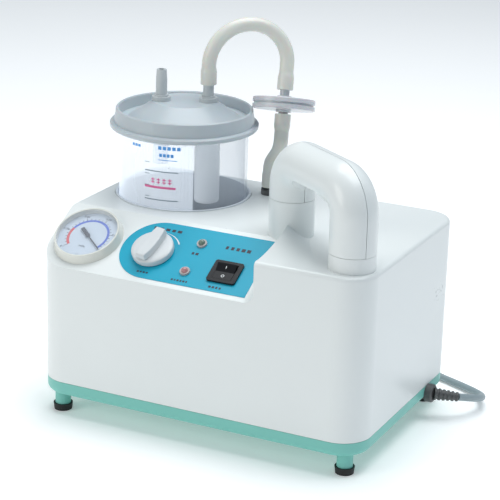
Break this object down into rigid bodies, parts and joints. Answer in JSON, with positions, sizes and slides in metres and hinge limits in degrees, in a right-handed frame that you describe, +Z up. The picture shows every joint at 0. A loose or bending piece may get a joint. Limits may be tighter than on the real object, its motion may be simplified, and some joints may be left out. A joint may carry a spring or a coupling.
{
  "type": "suction pump",
  "caption": "Portable medical suction unit: boxy white case on a teal tray, tube handle, clear collecting jar with lid and hose, vacuum gauge, knob, rocker switch and mains lead.",
  "frame": {"origin": "on the floor, under the centre of the case", "axes": "+X along the front face to the right, +Y to the back, +Z up"},
  "size_m": [0.3169, 0.3113, 0.3044],
  "materials": {
    "white_cover": "moulded ABS, satin gloss",
    "teal_tray": "moulded ABS, fine grain",
    "black_rubber": "matt",
    "zinc_steel": "zinc plated",
    "cyan_label": "printed film",
    "gauge_rim": "cream plastic",
    "dial_face": "printed",
    "clear_lens": "clear acrylic",
    "needle_black": "matt black",
    "brass": "turned",
    "knob_white": "moulded, fine grain",
    "black_plastic": "moulded",
    "lamp_bezel": "moulded",
    "green_lens": "translucent",
    "orange_lens": "translucent",
    "clear_jar": "clear polycarbonate",
    "scale_label": "printed film",
    "lid_grey": "moulded, translucent grey",
    "silicone": "translucent silicone",
    "filter_shell": "moulded",
    "white_float": "moulded",
    "well_liner": "moulded",
    "lamination": "stacked sheet",
    "copper_wire": "enamelled winding",
    "cast_aluminium": "die cast",
    "bright_steel": "ground",
    "cable_grey": "PVC sheath",
    "gland_grey": "moulded"
  },
  "bodies": {
    "case": {"base_tray": "teal_tray", "rubber_feet": "black_rubber", "case_screws": "zinc_steel", "top_cover": "white_cover", "handle_front_shell": "white_cover", "handle_rear_shell": "white_cover", "jar_well": "well_liner", "control_label": "cyan_label", "gauge_case": "gauge_rim", "gauge_dial": "dial_face", "gauge_lens": "clear_lens", "gauge_movement": "brass", "gauge_tube": "silicone", "valve_body": "brass", "switch_housing": "black_plastic", "rocker_pin": "bright_steel", "lamp_bezels": "lamp_bezel", "power_lamp_lens": "green_lens", "overflow_lamp_lens": "orange_lens", "vacuum_port": "gland_grey", "port_nut": "brass", "mounting_plate": "zinc_steel", "rubber_mounts": "black_rubber", "motor_stator": "lamination", "motor_windings": "copper_wire", "motor_end_bells": "cast_aluminium", "motor_bearings": "bright_steel", "pump_housing": "cast_aluminium", "diaphragm": "black_rubber", "valve_plate": "cast_aluminium", "pump_head": "black_plastic", "inner_vacuum_tube": "silicone", "fuse_holder": "black_plastic", "cable_gland": "gland_grey", "strain_relief": "gland_grey", "power_cord": "cable_grey", "cord_coil": "cable_grey", "plug": "black_plastic"},
    "knob": {"regulator_knob": "knob_white", "valve_stem": "brass"},
    "rocker": {"switch_rocker": "black_plastic"},
    "needle": {"gauge_needle": "needle_black"},
    "rotor": {"motor_shaft": "bright_steel", "rotor_core": "lamination", "cooling_fan": "black_plastic", "eccentric": "zinc_steel"},
    "rod": {"connecting_rod": "cast_aluminium"},
    "jar": {"jar": "clear_jar", "jar_label": "scale_label"},
    "lid": {"lid": "lid_grey", "lid_seal": "silicone", "inlet_nozzle": "lid_grey", "inlet_tube": "lid_grey", "outlet_port": "lid_grey", "float_cage": "lid_grey"},
    "float": {"float": "white_float"},
    "hose_line": {"hose_arch": "silicone", "filter_top": "filter_shell", "filter_bottom": "filter_shell", "lower_hose": "silicone"}
  },
  "joints": [
    {"name": "jar_lift", "type": "slide", "parent": "case", "child": "jar", "axis": [0, 0, 1], "range_m": [0, 0.11]},
    {"name": "lid_lift", "type": "slide", "parent": "jar", "child": "lid", "axis": [0, 0, 1], "range_m": [0, 0.075]},
    {"name": "hose_pull_off", "type": "slide", "parent": "lid", "child": "hose_line", "axis": [0, 0, 1], "range_m": [0, 0.03]},
    {"name": "float_rise", "type": "slide", "parent": "lid", "child": "float", "axis": [0, 0, 1], "range_m": [0, 0.025]},
    {"name": "knob_turn", "type": "hinge", "parent": "case", "child": "knob", "pos_m": [-0.05, -0.06743, 0.14195], "axis": [0, -0.4875, 0.8731], "range_deg": [-135, 135]},
    {"name": "rocker_tilt", "type": "hinge", "parent": "case", "child": "rocker", "pos_m": [0.0163, -0.07386, 0.13664], "axis": [1, 0, 0], "range_deg": [-20, 0]},
    {"name": "needle_sweep", "type": "hinge", "parent": "case", "child": "needle", "pos_m": [-0.109, -0.06612, 0.14268], "axis": [0, -0.4875, 0.8731], "range_deg": [0, 261]},
    {"name": "rotor_spin", "type": "hinge", "parent": "case", "child": "rotor", "pos_m": [0.046, 0.028, 0.078], "axis": [1, 0, 0], "continuous": true},
    {"name": "rod_swing", "type": "hinge", "parent": "rotor", "child": "rod", "pos_m": [0.046, 0.028, 0.0805], "axis": [1, 0, 0], "continuous": true}
  ],
  "couplings": [
    {"joint": "rod_swing", "follows": "rotor_spin", "ratio": -1}
  ]
}
